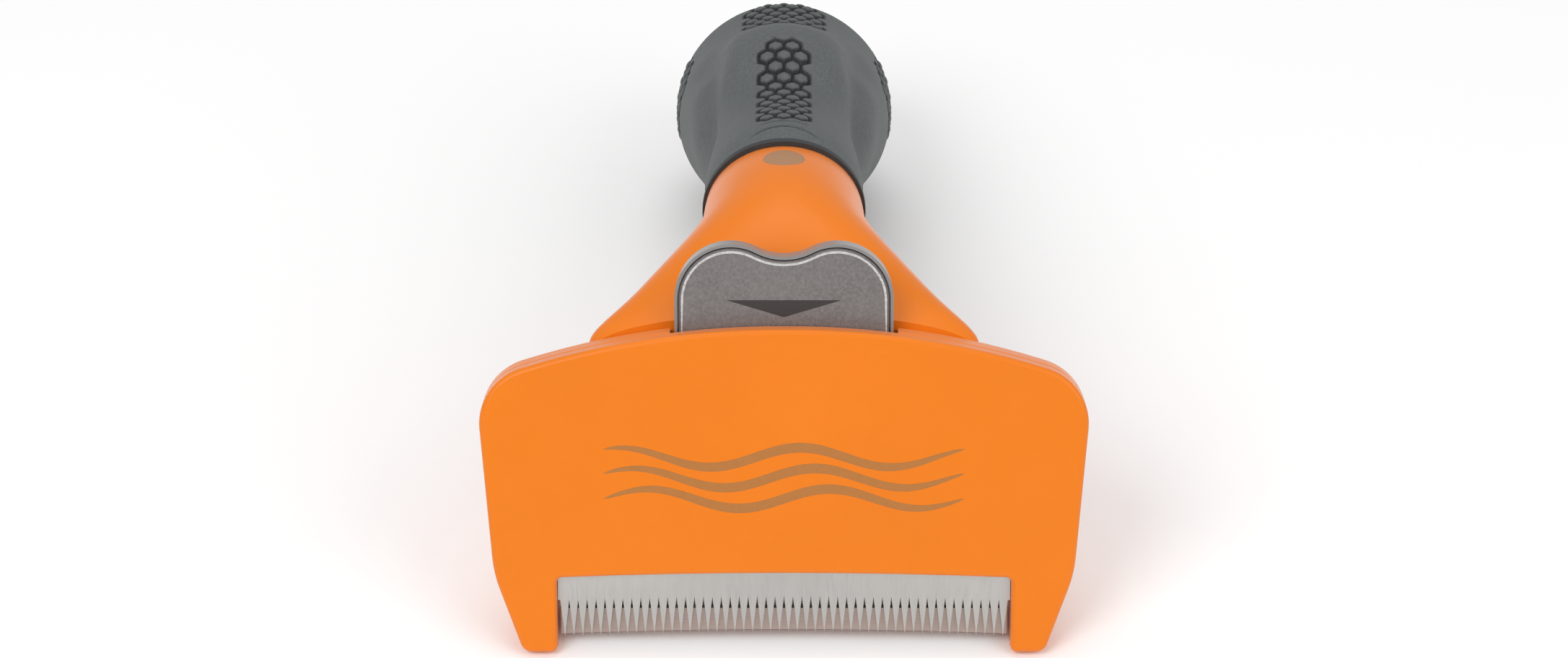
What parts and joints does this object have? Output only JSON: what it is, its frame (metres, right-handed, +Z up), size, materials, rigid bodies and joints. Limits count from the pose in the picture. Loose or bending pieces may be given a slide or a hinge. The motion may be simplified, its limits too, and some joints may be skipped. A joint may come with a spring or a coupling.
{
  "type": "deshedding tool",
  "caption": "Pet deshedding tool with a wide toothed steel blade between two skin guards, a sprung hair ejector button and an arched rubber grip.",
  "frame": {"origin": "on the table, under the middle of the whole tool, as it lies on its feet and its grip", "axes": "+X across the head, +Y from the head to the end of the grip, +Z up from the table"},
  "size_m": [0.091, 0.1488, 0.0578],
  "materials": {
    "orange_shell": "satin",
    "blade_steel": "brushed",
    "plate_steel": "satin",
    "plain_steel": "plain",
    "screw_steel": "zinc plated",
    "spring_steel": "drawn wire",
    "button_rim": "semi gloss",
    "button_face": "satin",
    "grey_nylon": "matte",
    "core_nylon": "matte",
    "grip_rubber": "fine grain",
    "ring_rubber": "smooth",
    "badge_brown": "matte"
  },
  "bodies": {
    "tool": {"front_cover": "orange_shell", "rear_housing": "orange_shell", "comb_blade": "blade_steel", "blade_clamp_bar": "plain_steel", "blade_screws": "screw_steel", "blade_dowels": "plain_steel", "return_spring_left": "spring_steel", "return_spring_right": "spring_steel", "guide_rod_left": "plain_steel", "guide_rod_right": "plain_steel", "cover_screws": "screw_steel", "handle_core_left": "core_nylon", "handle_core_right": "core_nylon", "core_screws": "screw_steel", "neck_bolt": "screw_steel", "grip_sleeve": "grip_rubber", "collar_ring": "ring_rubber", "size_badge": "badge_brown"},
    "ejector": {"ejector_button": "button_rim", "button_plate": "button_face", "ejector_carriage": "grey_nylon", "carriage_screws": "screw_steel", "ejector_plate": "plate_steel", "plate_rivets": "screw_steel"}
  },
  "joints": [
    {"name": "ejector_slide", "type": "slide", "parent": "tool", "child": "ejector", "axis": [0, -0.3638, -0.9315], "range_m": [0, 0.006], "stiffness_N_per_m": 350, "springref_m": -0.008, "deforming": ["return_spring_left", "return_spring_right"]}
  ]
}
